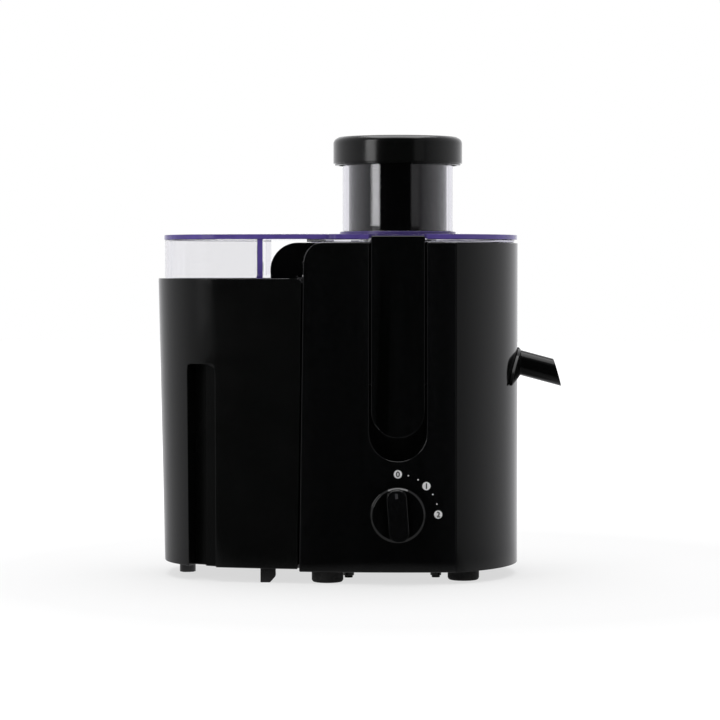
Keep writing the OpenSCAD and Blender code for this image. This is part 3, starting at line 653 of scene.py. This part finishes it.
CAMERA_PLACE = Vector((-0.0054, -1.9295, 0.2275))
CAMERA_PITCH = 0.0356
CAMERA_YAW = 0.0118
CAMERA_LENS = 129.0

# Brightness by direction, from 0 for light that comes from the front to 1 for the back.
STUDIO_LIGHT = [
    (0.0, 0.006),
    (0.15, 0.012),
    (0.20, 0.20),
    (0.5, 0.50),
    (0.75, 0.68),
    (1.0, 1.0),
]
BLUE_CAST = 1.02

FLOOR_REACH = 6.0
SHADOW_SHARE = 0.3
# Two distances from the middle of the floor, and the paper's value at the one and at the other.
GLOW = (0.3, 0.9, 0.95, 1.5)
WHITE_IN_GLOSS = (0.14, 0.22, 0.3, 0.0)


def camera():
    data = bpy.data.cameras.new("photo_camera")
    data.lens = CAMERA_LENS
    data.clip_end = 50
    view = bpy.data.objects.new("photo_camera", data)
    view.location = CAMERA_PLACE
    view.rotation_euler = (math.pi / 2 - CAMERA_PITCH, 0, CAMERA_YAW)
    bpy.context.scene.collection.objects.link(view)
    bpy.context.scene.camera = view


def softbox(name, centre, target, size, radiance):
    """A rectangular lamp of that radiance, which the camera doesn't see."""
    data = bpy.data.lights.new(name, "AREA")
    data.shape = "RECTANGLE"
    data.size, data.size_y = size
    data.energy = radiance * math.pi * size[0] * size[1]
    lamp = bpy.data.objects.new(name, data)
    lamp.location = centre
    lamp.rotation_euler = (Vector(target) - Vector(centre)).to_track_quat("-Z", "Y").to_euler()
    lamp.visible_camera = False
    bpy.context.scene.collection.objects.link(lamp)


def surroundings(nodes, direction):
    """Studio light that comes from that direction: dark in front, and brighter to the back."""
    split = nodes.add("ShaderNodeSeparateXYZ", {0: direction})
    depth = nodes.remap(split.outputs["Y"], -1.0, 1.0, 0.0, 1.0)
    ramp = nodes.add("ShaderNodeValToRGB", {0: depth})
    while len(ramp.color_ramp.elements) < len(STUDIO_LIGHT):
        ramp.color_ramp.elements.new(1.0)
    for stop, (place, value) in zip(ramp.color_ramp.elements, STUDIO_LIGHT):
        stop.position = place
        stop.color = (value, value, value * BLUE_CAST, 1)
    return ramp.outputs[0]


def floor_paper():
    """White with a light shadow to the camera. In the glossy parts it looks as the studio does."""
    paper = Shader("floor_paper")
    paper.colour(paper.noise(3), (0.90, 0.90, 0.90), (0.93, 0.93, 0.93))
    paper.set(roughness=0.9, specular_ior_level=0.1)
    path = paper.add("ShaderNodeLightPath").outputs
    length = paper.add("ShaderNodeVectorMath", {0: paper.place}, operation="LENGTH")
    outwards = paper.add("ShaderNodeVectorMath", {0: paper.place}, operation="NORMALIZE")
    distance = length.outputs["Value"]

    def mixed(factor, one, other):
        return paper.add("ShaderNodeMixShader", {0: factor, 1: one, 2: other}).outputs[0]

    lit = paper.surface.outputs[0]
    sheet = paper.add("ShaderNodeEmission", {"Strength": paper.remap(distance, *GLOW)})
    to_eye = mixed(path["Is Camera Ray"], lit, mixed(SHADOW_SHARE, sheet.outputs[0], lit))

    studio = surroundings(paper, outwards.outputs[0])
    around = paper.blend(paper.remap(distance, *WHITE_IN_GLOSS), studio, WHITE)
    mirrored = paper.add("ShaderNodeEmission", {"Color": around})
    seen = mixed(path["Is Glossy Ray"], to_eye, mirrored.outputs[0])
    paper.put(seen, paper.output.inputs["Surface"])
    return paper.material


def floor():
    shape = bmesh.new()
    bmesh.ops.create_grid(shape, x_segments=8, y_segments=8, size=FLOOR_REACH)
    plane = bpy.data.objects.new("floor", mesh_of(shape))
    plane.location = (0, 0, CAD_BOX[0].z)
    bpy.context.scene.collection.objects.link(plane)
    plane.data.materials.append(floor_paper())


def studio_walls():
    """White to the eye, also through the clear parts. As light, bright behind and dark in front."""
    world = bpy.data.worlds.new("studio")
    bpy.context.scene.world = world
    world.use_nodes = True
    nodes = Nodes(world.node_tree)
    around = nodes.add("ShaderNodeTexCoord").outputs["Generated"]
    path = nodes.add("ShaderNodeLightPath").outputs
    bounces = nodes.combine(path["Glossy Depth"], path["Diffuse Depth"])
    unbounced = nodes.combine(bounces, 0.5, "LESS_THAN")
    through = nodes.combine(path["Is Transmission Ray"], unbounced, "MULTIPLY")
    seen = nodes.combine(path["Is Camera Ray"], through, "MAXIMUM")
    light = nodes.blend(seen, surroundings(nodes, around), WHITE)
    nodes.put(light, world.node_tree.nodes["Background"].inputs["Color"])


camera()
floor()
studio_walls()
softbox("overhead", centre=(0, 0.1, 1.7), target=(0, 0, 0), size=(1.5, 1.5), radiance=3.5)
softbox(
    "left_strip", centre=(-1.12, -0.98, 0.68), target=(0, 0, 0.5), size=(0.5, 0.8), radiance=3.2
)
softbox(
    "right_strip", centre=(0.95, -1.22, 0.68), target=(0, 0, 0.5), size=(0.5, 0.8), radiance=0.2
)
bpy.context.scene.view_settings.view_transform = "Standard"
bpy.context.scene.cycles.use_denoising = True
